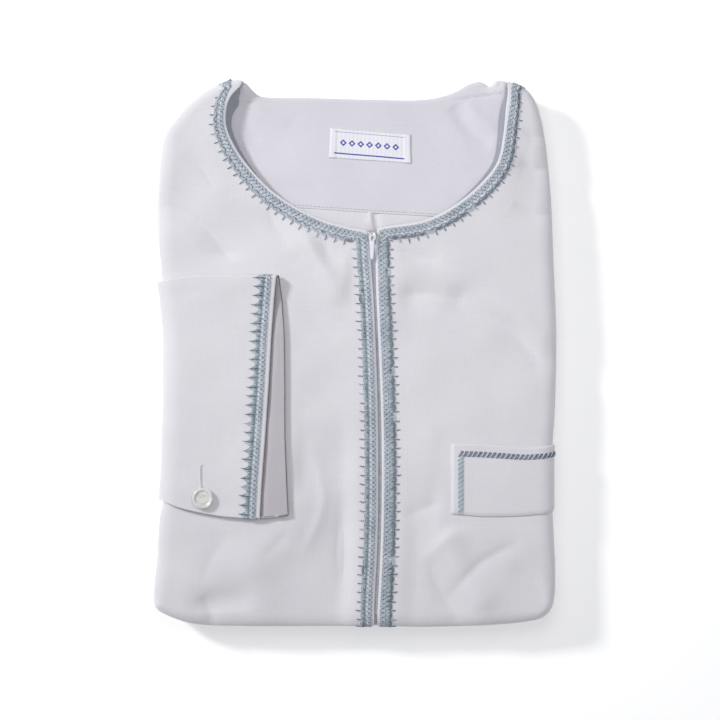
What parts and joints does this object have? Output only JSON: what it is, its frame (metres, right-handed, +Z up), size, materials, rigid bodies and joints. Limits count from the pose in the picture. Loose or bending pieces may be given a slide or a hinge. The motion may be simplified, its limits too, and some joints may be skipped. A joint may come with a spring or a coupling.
{
  "type": "folded thobe robe",
  "caption": "White long-sleeved thobe robe, folded flat with its braided neck, zip placket, cuff and pocket on top.",
  "frame": {"origin": "centre of the folded robe's rectangle, on the surface it rests on", "axes": "+Y towards the collar, +X to the right seen from above with the collar up, +Z up"},
  "size_m": [0.242, 0.3298, 0.0321],
  "materials": {
    "white_cotton": "matt plain weave",
    "facing_cotton": "matt plain weave, seen inside the neck",
    "woven_ribbon": "smooth satin-woven ribbon",
    "braid": "embroidered braid with a slight thread sheen",
    "button_shell": "pearly, polished",
    "zip_tape": "woven tape",
    "zip_coil": "satin nylon coil",
    "zip_metal": "polished",
    "pull_enamel": "white enamel"
  },
  "bodies": {
    "robe": {"folded_layers": "white_cotton", "front_left": "white_cotton", "front_right": "white_cotton", "back_yoke": "white_cotton", "back_panel": "white_cotton", "neck_facing_left": "facing_cotton", "neck_facing_right": "facing_cotton", "neck_label": "woven_ribbon", "trim_placket_left": "braid", "trim_placket_right": "braid", "trim_neck_left": "braid", "trim_neck_right": "braid", "sleeve": "white_cotton", "trim_cuff": "braid", "cuff_button": "button_shell", "pocket_welt": "white_cotton", "trim_pocket": "braid", "zip_tape_left": "zip_tape", "zip_tape_right": "zip_tape", "zip_chain": "zip_coil", "zip_slider": "zip_metal"},
    "pull": {"zip_pull": "pull_enamel"}
  },
  "joints": [
    {"name": "pull_hinge", "type": "hinge", "parent": "robe", "child": "pull", "pos_m": [0.0096, 0.0687, 0.0274], "axis": [-1, 0, 0], "range_deg": [0, 150]}
  ]
}
